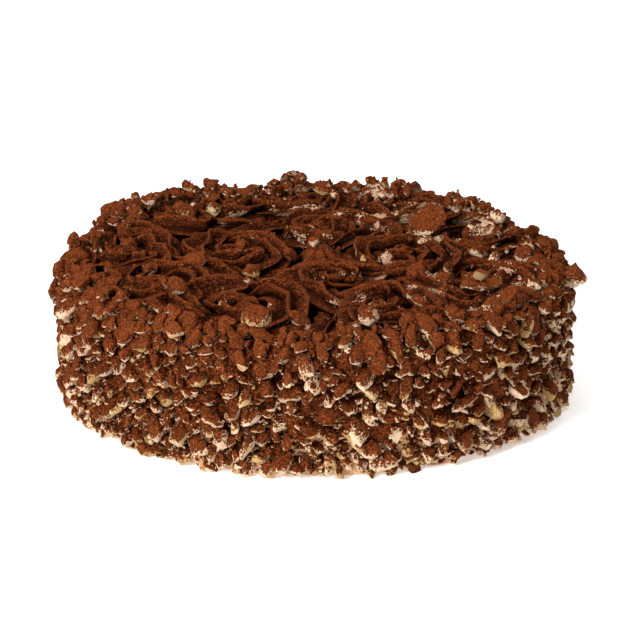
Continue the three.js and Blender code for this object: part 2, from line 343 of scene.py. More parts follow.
drum_low, drum_high = (np.array(corner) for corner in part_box("cake_drum"))
drum_radius = (drum_high[0] - drum_low[0]) / 2
drum_middle = (drum_high + drum_low) / 2
bend = np.linspace(0, np.pi / 2, 5)
profile_radius = np.concatenate(
    [[0.3, 0.6, 0.9, 1.0], np.ones(8), 1 - 0.03 * (1 - np.cos(bend)), np.linspace(0.94, 0.04, 26)]
)
profile_height = np.concatenate(
    [np.zeros(4), np.linspace(0.06, 0.92, 8), 1 - 0.06 * (1 - np.sin(bend)), np.ones(26)]
)
drum_rings = turned(drum_radius * profile_radius, drum_high[2] * profile_height, DRUM_AROUND)
relief = 1.6 * MM * value_noise(drum_rings, 12 * MM, 1) + 1.0 * MM * value_noise(drum_rings, 5 * MM, 2)
drum_rings[..., 2] += np.where(profile_height[:, None] > 0.95, relief, 0)
drum_rings[..., :2] *= 1 - np.maximum(relief, 0)[..., None] / drum_radius
drum_rings[..., :2] += drum_middle[:2]
drum_points, drum_faces = capped_rings(drum_rings)
# Painted shade: the cocoa on the drum's top, seen only between the rosettes, is painted darker.
shade_between_rosettes = 0.6 * (drum_points[:, 2] > drum_high[2] - 4 * MM)
drum = new_piece("cake_drum_cream", drum_points, drum_faces, cream_material, hollow=shade_between_rosettes)
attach(drum, "root")
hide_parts("cake_drum")


def points_of(mesh):
    """A mesh's points, in rows of X, Y and Z."""
    points = np.empty(len(mesh.vertices) * 3)
    mesh.vertices.foreach_get("co", points)
    return points.reshape(-1, 3)


def triangles_of(mesh):
    """The triangles that a mesh's faces divide into, in rows of three points' numbers."""
    mesh.calc_loop_triangles()
    corners = np.empty(len(mesh.loop_triangles) * 3, dtype=np.int64)
    mesh.loop_triangles.foreach_get("vertices", corners)
    return corners.reshape(-1, 3)


bed_points, bed_triangles = [], []


def join_bed(piece):
    """Adds a finished piece to the bed that nuts are laid on."""
    start = sum(len(points) for points in bed_points)
    bed_points.append(points_of(piece.data))
    bed_triangles.append(triangles_of(piece.data) + start)


join_bed(drum)


# ---------------------------------------------------------------- piped rosettes
# Whipped cream pressed through a large star nozzle: each rosette is one thick ridged rope,
# coiled outwards from its middle and pulled off to a thin tail, under a coat of cocoa.

ROPE_LOBES = 6
ROPE_AROUND = ROPE_LOBES * 22
ROPE_RINGS = 220
ROPE_WIDTH = 24 * MM
GROOVE = 0.52
CREASE = 0.11
SHOVE = np.array([5.5, 5.5, 1.6]) * MM
SHOVE_SIZE = 19 * MM
SHOVE_SEEDS = (70, 71, 72)
COILED = 0.84
OVERLAP = 1.18

rosette_finish = Finish("cocoa_on_rosettes")
rosette_colour, rosette_grain = cocoa_over(rosette_finish, CREAM, 1.1, worn_share=1.85, flecks=3.2)
rosette_relief = 0.6 * rosette_grain + 0.4 * rosette_finish.noise(1.5 * MM, 3)
rosette_material = rosette_finish.surface(
    rosette_colour, 0.92, rosette_relief, 1.1 * MM, Specular_IOR_Level=POWDER_GLOSS
)


def unit(vectors):
    """Vectors divided by their own length."""
    return vectors / np.linalg.norm(vectors, axis=-1, keepdims=True)


def star_rope(path, radius, squash, seed):
    """A ridged rope along a path, pressed flat or tall by squash. Its section reaches radius *
    swell * (1 - depth * valley - CREASE * crease**3). Here valley is |sin(lobes * phase / 2)| to
    the power 1.15, 0 on the sharp crests and 1 in the troughs between them; crease is 1 -
    |cos(1.5 * lobes * phase)|, three finer lines to a lobe; depth and swell wander round GROOVE
    and 1. The nozzle doesn't turn with the path, so the ridges wind round the rope once for each
    turn that the path makes. Noise shoves whole stretches aside, roughens the skin and tears the
    crests. Gives the rings, and for each point its painted shading: above 0 it paints shade into
    the troughs and creases, below 0 it paints a highlight on the crests, and it is 0 at the
    middles of both ends."""
    along = unit(np.gradient(path, axis=0))
    side = unit(np.cross(along, [0, 0, 1]))
    up = np.cross(side, along)
    phase = np.linspace(0, 2 * np.pi, ROPE_AROUND, endpoint=False)
    share = np.linspace(0, 1, len(path))[:, None]
    wander = np.stack(np.broadcast_arrays(1.1 * np.cos(phase), 1.1 * np.sin(phase), 9 * share), axis=-1)
    uneven = phase + 0.16 * np.sin(2 * phase + seed) + 0.1 * np.sin(3 * phase + 2 * seed)
    valley = np.abs(np.sin(ROPE_LOBES * uneven / 2)) ** 1.15
    crease = 1 - np.abs(np.cos(ROPE_LOBES * 1.5 * uneven + 0.6 * np.sin(5 * share + seed)))
    depth = GROOVE * (1 + 0.6 * value_noise(wander, 1.0, seed))
    swell = 1 + 0.2 * value_noise(wander, 1.6, seed + 40)
    reach = radius[:, None] * swell * (1 - depth * valley - CREASE * crease**3)
    heading = np.unwrap(np.arctan2(along[:, 1], along[:, 0]))[:, None]
    angle = phase + heading + 0.2 * np.sin(7 * share + seed)
    rings = (
        path[:, None]
        + (reach * np.cos(angle))[..., None] * side[:, None]
        + (squash * reach * np.sin(angle))[..., None] * up[:, None]
    )
    shove = np.stack([value_noise(rings, SHOVE_SIZE, each) for each in SHOVE_SEEDS], axis=-1)
    rings = rings + shove * SHOVE
    tear = np.maximum(value_noise(rings, 2.4 * MM, 9) - 0.4, 0) * (1 - valley)
    rough = 0.6 * value_noise(rings, 5 * MM, 3) + 0.35 * value_noise(rings, 1.7 * MM, 4) - 2.2 * tear
    # Painted shade in the troughs and creases and a painted highlight along the crests, which darken or
    # lighten the cocoa.
    hollow = 0.7 * valley**2 + 0.3 * crease**6 - 0.4 * (1 - valley) ** 5 - 0.06
    away = unit(rings - rings.mean(axis=1, keepdims=True))
    return rings + rough[..., None] * away * MM, np.append(hollow, [0, 0])


def coil_path(centre, widest, bottom, top, end, turns, way, tail):
    """The middle line of a coiled rope, from its crown outwards. While coiled grows from 0 to 1,
    over the share COILED of the rope, it winds through its turns as coiled**0.8 and sinks from
    top to bottom as 1 - (1 - coiled)**0.7. Its distance from the centre grows as coiled**0.9 and
    is widest from three quarters on. Sines put it a little out of round and out of level. The
    rest runs on straight, along the coil's tangent, for the length of the tail, and drops 5 mm."""
    share = np.linspace(0, 1, ROPE_RINGS)
    coiled = np.clip(share / COILED, 0, 1)
    beyond = tail * np.clip((share - COILED) / (1 - COILED), 0, 1)
    angle = end + way * (2 * np.pi * turns * (coiled**0.8 - 1) + np.arctan2(beyond, widest))
    out = np.hypot(widest * np.clip(coiled / 0.75, 0, 1) ** 0.9, beyond)
    out *= 1 + 0.1 * np.sin(2 * angle + end) + 0.07 * np.sin(3 * angle + turns * 20)
    height = bottom + (top - bottom) * (1 - coiled) ** 0.7
    height += 1.4 * MM * np.sin(4 * angle + end) * np.sin(2.3 * angle)
    height -= 5 * MM * (beyond / tail) ** 2
    return np.stack([centre[0] + out * np.cos(angle), centre[1] + out * np.sin(angle), height], axis=-1)


# [bearing of the coil's end in degrees, turns, 1 for anticlockwise or -1, length of the tail in
# millimetres, height of the middle line at the coil's end as a share of half the rope's height]
COILS = [
    [200, 1.5, 1, 12, 1.0],
    [-100, 1.4, -1, 10, 1.0],
    [-60, 1.55, 1, 14, 0.7],
    [10, 1.5, -1, 10, 0.45],
    [95, 1.6, 1, 12, 0.7],
    [60, 1.45, 1, 10, 1.0],
    [150, 1.3, -1, 9, 1.0],
    [80, 1.5, -1, 10, 1.0],
    [190, 1.4, 1, 12, 1.0],
    [215, 1.5, 1, 12, 1.0],
    [-150, 1.6, -1, 12, 1.0],
    [20, 1.45, 1, 9, 1.0],
    [120, 1.5, 1, 10, 1.0],
    [-125, 1.4, 1, 30, 1.0],
]
rosette_names = sorted(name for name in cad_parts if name.startswith("rosette_"))
for number, (name, (end, turns, way, tail, foot)) in enumerate(zip(rosette_names, COILS)):
    low, high = (np.array(corner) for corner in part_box(name))
    spread = OVERLAP * (high[0] - low[0] + high[1] - low[1]) / 4
    half_height = (high[2] - low[2]) * 0.47
    path = coil_path(
        (low + high) / 2,
        spread - 0.47 * ROPE_WIDTH,
        low[2] + foot * half_height,
        high[2] - half_height,
        math.radians(end),
        turns,
        way,
        tail * MM,
    )
    out = np.hypot(path[:, 0], path[:, 1])
    path[:, :2] *= (np.minimum(out, drum_radius - 0.45 * ROPE_WIDTH) / out)[:, None]
    share = np.linspace(0, 1, ROPE_RINGS)
    pulled = np.clip((share - COILED) / (1 - COILED), 0, 1)
    taper = np.clip(share / 0.08, 0.3, 1) ** 0.5 * (1 - 0.65 * pulled**1.5)
    rings, hollow = star_rope(path, ROPE_WIDTH / 2 * taper, 2 * half_height / ROPE_WIDTH, number)
    coil = new_piece(f"piped_{name}", *capped_rings(rings), rosette_material, hollow=hollow)
    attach(coil, "root")
    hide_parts(name)
    join_bed(coil)


# ---------------------------------------------------------------- strokes between the rosettes
# The same cream from the same nozzle, pulled across the gaps that the rosettes left between
# them. Each stroke is a short ridged rope, bent a little, lower and thinner at both ends.

# [x, y, heading in degrees, length, height of its back over the drum], in millimetres
STROKES = [
    [-31, 50, 25, 44, 11.5],
    [47, 34, 100, 40, 12],
    [-17, -24, 125, 30, 11],
    [5, -82, 80, 36, 10],
    [41, -37, 75, 30, 12],
    [88, 14, 15, 34, 10],
    [-54, -80, 60, 26, 10],
]
STROKE_BEND = 4
STROKE_SAG = 2.5
STROKE_SUNK = 1

for number, (x, y, heading, length, back) in enumerate(STROKES):
    share = np.linspace(-1, 1, ROPE_RINGS // 2)
    turn = math.radians(heading)
    along, aside = share * length / 2, STROKE_BEND * share**2
    path = np.stack(
        [
            x + along * math.cos(turn) - aside * math.sin(turn),
            y + along * math.sin(turn) + aside * math.cos(turn),
            drum_high[2] / MM + back / 2 - STROKE_SUNK - STROKE_SAG * share**2,
        ],
        axis=-1,
    )
    radius = ROPE_WIDTH / 2 * (1 - 0.75 * share**6) * (0.92 - 0.14 * share)
    rings, hollow = star_rope(path * MM, radius, back * MM / ROPE_WIDTH + 0.05, number + 60)
    stroke = new_piece(f"piped_stroke_{number + 1}", *capped_rings(rings), rosette_material, hollow=hollow)
    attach(stroke, "root")
    join_bed(stroke)


# ---------------------------------------------------------------- kiss of cream
# A single straight press of the nozzle near the middle of the top, drawn up into upright
# petals that close towards its tip. Cocoa lies on it as on the rosettes.

KISS_PETALS = 7
KISS_RADIUS = 12.5 * MM
KISS_TWIST = 0.5
KISS_GROOVE = 0.34

kiss_low, kiss_high = (np.array(corner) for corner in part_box("centre_kiss"))
kiss_middle = (kiss_low + kiss_high) / 2
climb = np.linspace(0, 1, 40)
kiss_radius = KISS_RADIUS * np.interp(climb, [0, 0.15, 0.45, 0.75, 0.93, 1], [0.9, 1, 0.92, 0.62, 0.3, 0.08])
phase = np.linspace(0, 2 * np.pi, KISS_PETALS * 16, endpoint=False)
petals = 1 - KISS_GROOVE * (1 - np.abs(np.cos(KISS_PETALS * phase / 2)))
angle = phase + KISS_TWIST * climb[:, None]
reach = kiss_radius[:, None] * petals
kiss_rings = np.stack(
    [
        kiss_middle[0] + reach * np.cos(angle),
        kiss_middle[1] + reach * np.sin(angle),
        kiss_low[2] + (kiss_high[2] - kiss_low[2]) * (climb[:, None] + 0 * phase),
    ],
    axis=-1,
)
kiss_rings += 0.5 * MM * value_noise(kiss_rings, 4 * MM, 5)[..., None]
kiss = new_piece("piped_centre_kiss", *capped_rings(kiss_rings), rosette_material)
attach(kiss, "root")
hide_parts("centre_kiss")
join_bed(kiss)


# ---------------------------------------------------------------- nut coat
# Chopped nuts pressed by the handful into the cream round the side, over the rim and on to
# the rosettes' outer faces. Cocoa lies on their upper sides; underneath they stay pale.

COAT_BED = drum_radius + 3.4 * MM
COAT_AROUND = 600
BED_TOP = 58 * MM
LIP_RADIUS = np.array([109.0, 107.0, 104.0, 101.0, 98.0, 95.0, 92.0, 89.0]) * MM
LIP_HEIGHT = np.array([59.0, 60.0, 60.5, 60.0, 59.0, 57.0, 54.0, 50.0]) * MM


def fuller_left(angle, height):
    """How much further out the coat was pressed on there: 0.8 mm * (1 - cosine of the bearing),
    which is most at the left, and in proportion to height up to 35 mm."""
    return 0.8 * MM * (1 - np.cos(angle)) * np.clip(height / (35 * MM), 0, 1)


# The bed of cream under the nuts draws in by 3 mm towards the rim and by 2.6 mm at the foot.
bed_climb = np.linspace(0, 1, 78)
bed_radius = COAT_BED + 0 * bed_climb
bed_radius -= 3.0 * MM * np.clip((bed_climb - 0.86) / 0.14, 0, 1) ** 2
bed_radius -= 2.6 * MM * np.clip(1 - bed_climb / 0.07, 0, 1)
bed_rings = turned(bed_radius, bed_climb * BED_TOP, COAT_AROUND)
ripple = 2.0 * value_noise(bed_rings, 9 * MM, 6) + 1.1 * value_noise(bed_rings, 4 * MM, 7)
ripple += 0.4 * value_noise(bed_rings, 1.9 * MM, 17)
bed_angle = np.linspace(0, 2 * np.pi, COAT_AROUND, endpoint=False)
outward = bed_rings * [1, 1, 0] / np.linalg.norm(bed_rings[..., :2], axis=-1, keepdims=True)
bed_swell = np.minimum(ripple, 2.2) * MM + fuller_left(bed_angle, bed_rings[..., 2])
bed_rings += bed_swell[..., None] * outward
lip = turned(LIP_RADIUS, LIP_HEIGHT, COAT_AROUND)
lip[..., 2] += 1.5 * MM * value_noise(lip, 8 * MM, 18)
inner = turned(np.array([drum_radius - 1 * MM] * 2), np.array([drum_high[2] - 2 * MM, 0.0]), COAT_AROUND)
bed_rings = np.vstack([bed_rings, lip, inner])
bed_rings[..., :2] += drum_middle[:2]
smooth_points = (len(LIP_RADIUS) + len(inner)) * COAT_AROUND
# Painted shade: the cocoa in the deepest dips of the bed's ripple is painted darker; the lip and the inner
# wall get none.
bed_hollow = np.append(np.clip(-0.3 - 0.35 * ripple, 0, 1), np.zeros(smooth_points))

coat_finish = Finish("cocoa_on_coat_cream")
coat_hold = coat_finish.ease(coat_finish.along("Z"), 0.0, 45 * MM) * 0.8 - 0.2
coat_colour, coat_grain = cocoa_over(coat_finish, CREAM, coat_hold, worn_share=0.35)
coat_relief = 0.6 * coat_grain + 0.4 * coat_finish.noise(2.5 * MM)
coat_material = coat_finish.surface(
    coat_colour, 0.9, coat_relief, 0.45 * MM, Specular_IOR_Level=POWDER_GLOSS
)
coat_cream = new_piece(
    "coat_cream",
    bed_rings.reshape(-1, 3),
    [tube_faces(len(bed_rings), COAT_AROUND, closed=True)],
    coat_material,
    hollow=bed_hollow,
)
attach(coat_cream, "root")
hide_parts("nut_coat")
join_bed(coat_cream)


def bed_so_far():
    """All that has joined the bed, ready to be met by rays and to be searched for what is near."""
    return BVHTree.FromPolygons(np.vstack(bed_points).tolist(), np.vstack(bed_triangles).tolist())


bed = bed_so_far()

LUMP_SIDES = 5
LUMP_CRISPNESS = 40
LUMP_FURTHEST = 1.3
UPRIGHT = 1.8


def lump_grid(cuts):
    """Directions and four-cornered faces of a cube's surface, cut into a grid and rounded."""
    step = np.tan(np.linspace(-1, 1, cuts + 1) * np.pi / 4)
    u, v = np.meshgrid(step, step, indexing="ij")
    one = np.ones_like(u)
    sides = [(u, v, one), (v, u, -one), (one, u, v), (-one, v, u), (v, one, u), (u, -one, v)]
    corners = np.stack([np.stack(side, axis=-1) for side in sides]).reshape(-1, 3)
    corners, which = np.unique(np.round(corners, 6), axis=0, return_inverse=True)
    which = which.reshape(6, cuts + 1, cuts + 1)
    faces = np.stack([which[:, :-1, :-1], which[:, 1:, :-1], which[:, 1:, 1:], which[:, :-1, 1:]], axis=-1)
    return corners / np.linalg.norm(corners, axis=1, keepdims=True), faces.reshape(-1, 4)


def lump_reach(directions, normals, offsets, crispness, furthest):
    """How far a lump with flat sides reaches each way: the p-norm, over its sides, of
    (direction . side normal) / (side distance), turned upside down. Nothing reaches past
    furthest, so that no corner is drawn out to a point."""
    lean = np.maximum(directions @ np.swapaxes(normals, -1, -2), 0) / offsets[..., None, :]
    return ((lean**crispness).sum(axis=-1) + furthest**-crispness) ** (-1 / crispness)


def strewn_lumps(draw, places, facings, sizes, tilt, cuts, relief):
    """Points and faces of many broken pieces at once, and how many points each has. A piece is a
    lump with five random sides between two flats, of the given length, width and thickness.
    One flat looks along its facing, put off it by tilt, and its length lies at random but
    sooner upright. Noise raises its skin by up to relief. cuts is how finely it is divided."""
    count = len(places)
    directions, faces = lump_grid(cuts)
    around = np.arange(LUMP_SIDES) + draw.uniform(-0.3, 0.3, (count, LUMP_SIDES))
    around = (around + draw.uniform(0, 5, (count, 1))) * 2 * np.pi / LUMP_SIDES
    side_climb = draw.uniform(-0.7, 0.3, (count, LUMP_SIDES))
    sides = unit(np.stack([np.cos(around), np.sin(around), side_climb], axis=-1))
    flats = unit(np.array([[0, 0, 1], [0, 0, -1]]) + 0.3 * draw.normal(size=(count, 2, 3)))
    normals = np.concatenate([sides, flats], axis=1)
    side_offsets = draw.uniform(0.5, 0.95, (count, LUMP_SIDES))
    offsets = np.concatenate([side_offsets, draw.uniform(0.7, 1.0, (count, 2))], axis=1)
    each_way = np.broadcast_to(directions, (count, *directions.shape))
    reach = lump_reach(each_way, normals, offsets, LUMP_CRISPNESS, LUMP_FURTHEST)
    local = reach[..., None] * directions * sizes[:, None] / 2
    flat = unit(facings + tilt * draw.normal(size=(count, 3)))
    upright = np.array([0, 0, UPRIGHT]) + draw.normal(size=(count, 3))
    first = unit(upright - (upright * flat).sum(axis=1, keepdims=True) * flat)
    axes = np.stack([first, np.cross(flat, first), flat], axis=1)
    points = places[:, None] + local @ axes
    points += relief * (value_noise(points, 2.6 * MM, 8)[..., None] * unit(local @ axes))
    index = faces[None] + np.arange(count)[:, None, None] * len(directions)
    return points.reshape(-1, 3), index.reshape(-1, 4), len(directions)


EVEN_STEPS = (0.7548776662466927, 0.5698402909980532)


def spread_evenly(count, offset=0.0):
    """Pairs of numbers from 0 to 1 that fill the square evenly without rows: what is left over
    from whole numbers in multiples of 1 / p and 1 / p**2, where p**3 = p + 1."""
    step = np.arange(count) + 0.5 + offset
    return (step * EVEN_STEPS[0]) % 1, (step * EVEN_STEPS[1]) % 1


GUIDE_RADIUS = np.array([117.8, 117.5, 117.0, 117.0, 117.0, 115.5, 112.0, 107.5]) * MM
GUIDE_HEIGHT = np.array([2.5, 15.0, 30.0, 44.0, 54.0, 60.5, 64.5, 67.5]) * MM
GUIDE_LENGTH = np.concatenate([[0], np.cumsum(np.hypot(np.diff(GUIDE_RADIUS), np.diff(GUIDE_HEIGHT)))])
LEAN_UP = 0.5
TOP_TILT = 2 * MM
LOW_SHOULDER = 7 * MM
LOW_BEARING = math.radians(32)
LOW_SPREAD = 0.2
ASTRAY = 0.012
PROUD = 2.6 * MM
SUNK = 1.2 * MM
FEEL = 15 * MM


def coat_spots(draw, share_round, share_up, inset):
    """Where nuts of the coat sit: spots that far behind a guide, which runs up the side and over
    the rim. The guide is lower at the right by TOP_TILT and at LOW_BEARING by LOW_SHOULDER. A
    spot is moved square to the guide until it is no more than SUNK inside the cream and PROUD
    outside it. It faces as the guide does plus half as the cream does, leaned up by LEAN_UP."""
    angle = 2 * np.pi * share_round + draw.normal(0, ASTRAY, len(share_round))
    length = share_up * GUIDE_LENGTH[-1]
    radius, height = (np.interp(length, GUIDE_LENGTH, each) for each in (GUIDE_RADIUS, GUIDE_HEIGHT))
    slope_r, slope_z = (
        np.interp(length + MM, GUIDE_LENGTH, each) - np.interp(length - MM, GUIDE_LENGTH, each)
        for each in (GUIDE_RADIUS, GUIDE_HEIGHT)
    )
    radius += fuller_left(angle, height)
    dip = TOP_TILT * np.cos(angle) + LOW_SHOULDER * np.exp(-(((angle - LOW_BEARING) / LOW_SPREAD) ** 2))
    height -= dip * np.clip(height / (60 * MM), 0, 1) ** 3
    radial = np.stack([np.cos(angle), np.sin(angle), 0 * angle], axis=-1)
    facing = unit(radial * slope_z[:, None] + np.array([0, 0, 1]) * -slope_r[:, None])
    middle = np.append(drum_middle[:2], 0)
    start = middle + radial * radius[:, None] + np.array([0, 0, 1]) * height[:, None] + FEEL * facing
    depth, facings = [], []
    for origin, direction, behind in zip(start, facing, FEEL + inset):
        hit, normal, _, reach = bed.ray_cast(Vector(origin), Vector(-direction))
        depth.append(behind if hit is None else min(max(behind, reach - PROUD), reach + SUNK))
        facings.append(direction + 0.5 * np.array(normal or direction))
    return start - facing * np.array(depth)[:, None], unit(unit(np.array(facings)) + [0, 0, LEAN_UP])


NUT_FLESH = (0.95, 0.68, 0.46, 1)
NUT_SKIN = (0.66, 0.42, 0.18, 1)
nut_finish = Finish("cocoa_on_nuts")
nut_browning = nut_finish.attribute("tone") + 0.4 * nut_finish.noise(4 * MM) - 0.2
nut_bare = nut_finish.blend(nut_finish.ease(nut_browning, 0.55, 0.8), NUT_FLESH, NUT_SKIN)
nut_hold = nut_finish.ease(nut_finish.along("Z"), 5 * MM, 62 * MM) * 0.35 - 0.05
nut_hold = nut_hold - nut_finish.attribute("bare") + 0.45 * nut_finish.attribute("rise")
nut_colour, nut_grain = cocoa_over(
    nut_finish, nut_bare, nut_hold, worn_share=0.8, out_share=0.2, speckled=2.3
)
nut_relief = 0.5 * nut_grain + 0.5 * nut_finish.noise(1.8 * MM, 3)
nut_material = nut_finish.surface(
    nut_colour, 0.88, nut_relief, 0.9 * MM, Specular_IOR_Level=POWDER_GLOSS
)


def strew(name, draw, places, facings, sizes, tilt, cuts, relief, nodes=("nut_coat",), swept=0.0):
    """One piece of many lumps. Each has its own tone, and its own bareness, which keeps cocoa
    off it: a random part, and up to swept more. A point's rise is -1 at the foot of its lump
    and 1 at the top. Without nodes, the piece is an addition that stands for none."""
    points, faces, corners = strewn_lumps(draw, places, facings, sizes, tilt, cuts, relief)
    tone = np.repeat(draw.uniform(0, 1, len(places)), corners)
    bare = np.repeat(draw.normal(0, 0.25, len(places)) + swept * draw.uniform(0, 1, len(places)), corners)
    points[:, 2] = np.maximum(points[:, 2], 0.1 * MM)
    lumps = points[:, 2].reshape(len(places), corners)
    middle, half = (lumps.max(axis=1) + lumps.min(axis=1)) / 2, (lumps.max(axis=1) - lumps.min(axis=1)) / 2
    rise = ((lumps - middle[:, None]) / half[:, None]).ravel()
    piece = new_piece(name, points, [faces], nut_material, crisp=True, tone=tone, bare=bare, rise=rise)
    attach(piece, "root")
    if nodes:
        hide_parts(*nodes)
    return piece


def nut_sizes(draw, count, smallest, largest):
    """Lengths, widths and thicknesses, in metres, of pieces broken at random, from the least and
    the greatest length in millimetres."""
    length = draw.uniform(smallest, largest, count)
    width = length * draw.uniform(0.42, 0.78, count)
    thickness = length * draw.uniform(0.4, 0.7, count)
    return np.stack([length, width, thickness], axis=-1) * MM


def pressed_on(places, grip):
    """Spots that hang clear of all that is laid so far, moved straight toward the nearest of it
    until they are within grip of it. The others stay."""
    laid = bed_so_far()
    for spot, reach in zip(places, grip):
        hit, normal, _, gap = laid.find_nearest(Vector(spot))
        if gap > reach and normal.dot(Vector(spot) - hit) > 0:
            spot += (np.array(hit) - spot) * (1 - reach / gap)
    return places


draw = np.random.default_rng(21)
LARGE_NUTS = 620
round_share, up_share = spread_evenly(LARGE_NUTS)
sizes = nut_sizes(draw, LARGE_NUTS, 7, 14)
inset = draw.uniform(0.0, 4.0, LARGE_NUTS) * MM
places, facings = coat_spots(draw, round_share, up_share, inset)
large = strew("coat_nuts_large", draw, places, facings, sizes, tilt=0.35, cuts=3, relief=0.4 * MM)
join_bed(large)

MEDIUM_NUTS = 1500
round_share, up_share = spread_evenly(MEDIUM_NUTS, 0.37)
sizes = nut_sizes(draw, MEDIUM_NUTS, 3.6, 8.5)
inset = draw.uniform(0.0, 4.5, MEDIUM_NUTS) * MM
places, facings = coat_spots(draw, round_share, up_share, inset)
places = pressed_on(places, 0.3 * sizes[:, 2])
medium = strew(
    "coat_nuts_medium", draw, places, facings, sizes, tilt=0.6, cuts=3, relief=0.35 * MM, swept=-0.15
)
join_bed(medium)

CRUMBS = 3000
round_share, up_share = spread_evenly(CRUMBS, 0.71)
sizes = nut_sizes(draw, CRUMBS, 1.6, 4.2)
inset = draw.uniform(-1.0, 4.5, CRUMBS) * MM
places, facings = coat_spots(draw, round_share, up_share, inset)
places = pressed_on(places, 0.2 * sizes[:, 2])
strew("coat_nuts_crumbs", draw, places, facings, sizes, tilt=1.0, cuts=2, relief=0.2 * MM, swept=-0.4)

FOOT_NUTS = 420
FOOT_SHARE = 0.09
round_share, up_share = spread_evenly(FOOT_NUTS, 0.53)
sizes = nut_sizes(draw, FOOT_NUTS, 4, 9)
inset = draw.uniform(-0.5, 3, FOOT_NUTS) * MM
places, facings = coat_spots(draw, round_share, FOOT_SHARE * up_share, inset)
strew("coat_nuts_foot", draw, places, facings, sizes, tilt=0.6, cuts=3, relief=0.35 * MM)

# Nuts that stand out furthest at the right and left: [bearing in degrees, then distance from
# the middle, height and length in millimetres].
PROUD_NUTS = np.array([[-8, 117.5, 57, 14], [-13, 115.5, 50, 10], [187, 113.5, 58, 11], [176, 114, 50, 10]])
bearing, distance, height, length = PROUD_NUTS.T
bearing = np.radians(bearing)
outward = np.stack([np.cos(bearing), np.sin(bearing), 0 * bearing], axis=-1)
places = outward * distance[:, None] * MM + np.array([0, 0, 1]) * height[:, None] * MM
facings = outward + [0, 0, LEAN_UP]
sizes = length[:, None] * np.array([0.85, 0.75, 1.1]) * MM
strew("coat_nuts_proud", draw, places, facings, sizes, tilt=0.3, cuts=3, relief=0.4 * MM)


# ---------------------------------------------------------------- the largest nuts on top
# The biggest broken pieces of the same nuts, each lying where it fell and sunk a little into
# the cream. Some kept less of their cocoa than others, and their pale flesh shows.

SINK = 1.5 * MM
LEANING = {"nut_01": 24}
LIFTED = {"nut_01": 5 * MM}
NODE_BARE = {"nut_01": 0.1}
BARENESS = [0.0, 0.2, 0.45, 0.8]


def height_of_bed(spot):
    """The height at which something dropped straight down there meets the cream, if it does."""
    hit = bed.ray_cast(Vector((spot[0], spot[1], 2 * TORTE_HEIGHT)), Vector((0, 0, -1)))[0]
    return hit[2] if hit else math.nan


nut_names = sorted(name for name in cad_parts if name.startswith("nut_") and name != "nut_coat")
for number, name in enumerate(nut_names):
    # A lump with the flat sides of its own solid, roughened and stretched to the same box.
    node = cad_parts[name].data
    normals = np.array([face.normal for face in node.polygons])
    middles = np.array([face.center for face in node.polygons])
    low, high = (np.array(corner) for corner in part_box(name))
    centre = (low + high) / 2
    offsets = ((middles - centre) * normals).sum(axis=1)
    directions, faces = lump_grid(14)
    reach = lump_reach(directions, normals, offsets, 50, 1.0)
    points = centre + directions * reach[:, None]
    rough = 0.45 * value_noise(points, 3.2 * MM, number) + 0.2 * value_noise(points, 1.3 * MM, number + 50)
    points += (rough * MM)[:, None] * directions
    stretch = (high - low) / (points.max(axis=0) - points.min(axis=0))
    points = centre + (points - (points.max(axis=0) + points.min(axis=0)) / 2) * stretch
    if name in LEANING:
        lean = Matrix.Rotation(math.radians(LEANING[name]), 3, "X")
        points = centre + (points - centre) @ np.array(lean).T
    # Moved up or down until three tenths of its lower points are SINK or more inside the cream.
    lower = points[points[:, 2] < centre[2]]
    gaps = lower[:, 2] - np.apply_along_axis(height_of_bed, 1, lower)
    points[:, 2] -= np.clip(np.nanquantile(gaps, 0.3) + SINK - LIFTED.get(name, 0), -4 * MM, 8 * MM)
    tone = np.full(len(points), draw.uniform())
    bare = np.full(len(points), NODE_BARE.get(name, draw.choice(BARENESS)))
    rise = (points[:, 2] - (points[:, 2].max() + points[:, 2].min()) / 2) / (np.ptp(points[:, 2]) / 2)
    piece = new_piece(
        f"top_{name}", points, [faces], nut_material, crisp=True, tone=tone, bare=bare, rise=rise
    )
    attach(piece, "root")
    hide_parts(name)
    join_bed(piece)


# ---------------------------------------------------------------- smaller nuts on top
# Broken pieces and crumbs of nut that fell between the largest ones, thicker toward the rim
# and to the right. They lie loose on the cream, and in small heaps along the rim at the back.

STREWN_RADIUS = 104 * MM
DROPPED_FROM = 0.2

top_bed = bed_so_far()


def dropped(spots):
    """Where things dropped straight down at each X and Y meet what is laid, and its facing."""
    hits = [top_bed.ray_cast(Vector((*spot, DROPPED_FROM)), Vector((0, 0, -1))) for spot in spots]
    return np.array([hit[0] for hit in hits]), np.array([hit[1] for hit in hits])


def top_spots(draw, count, lift):
    """Spots on top of the torte, dropped straight down until they meet what is laid, then lifted
    off it. The share kept grows from 0.1 by 0.45 toward the rim and by 0.45 to the right."""
    across, along = spread_evenly(count, draw.uniform(0, 50))
    out = STREWN_RADIUS * np.sqrt(across)
    angle = 2 * np.pi * along
    x, y = out * np.cos(angle), out * np.sin(angle)
    crowd = 0.1 + 0.45 * np.clip((out - 60 * MM) / (40 * MM), 0, 1)
    crowd += 0.45 * np.clip((x + 0.5 * y) / (80 * MM), 0, 1)
    keep = draw.uniform(0, 1, count) < crowd
    places, facings = dropped(zip(x[keep], y[keep]))
    return places + facings * lift[keep][:, None], facings, keep


draw = np.random.default_rng(31)
LOOSE_NUTS = 330
sizes = nut_sizes(draw, LOOSE_NUTS, 4.5, 10)
places, facings, keep = top_spots(draw, LOOSE_NUTS, 0.35 * sizes[:, 2])
sizes = sizes[keep]
strew(
    "top_nuts_small", draw, places, facings, sizes, tilt=0.45, cuts=3, relief=0.35 * MM, nodes=(), swept=1.15
)

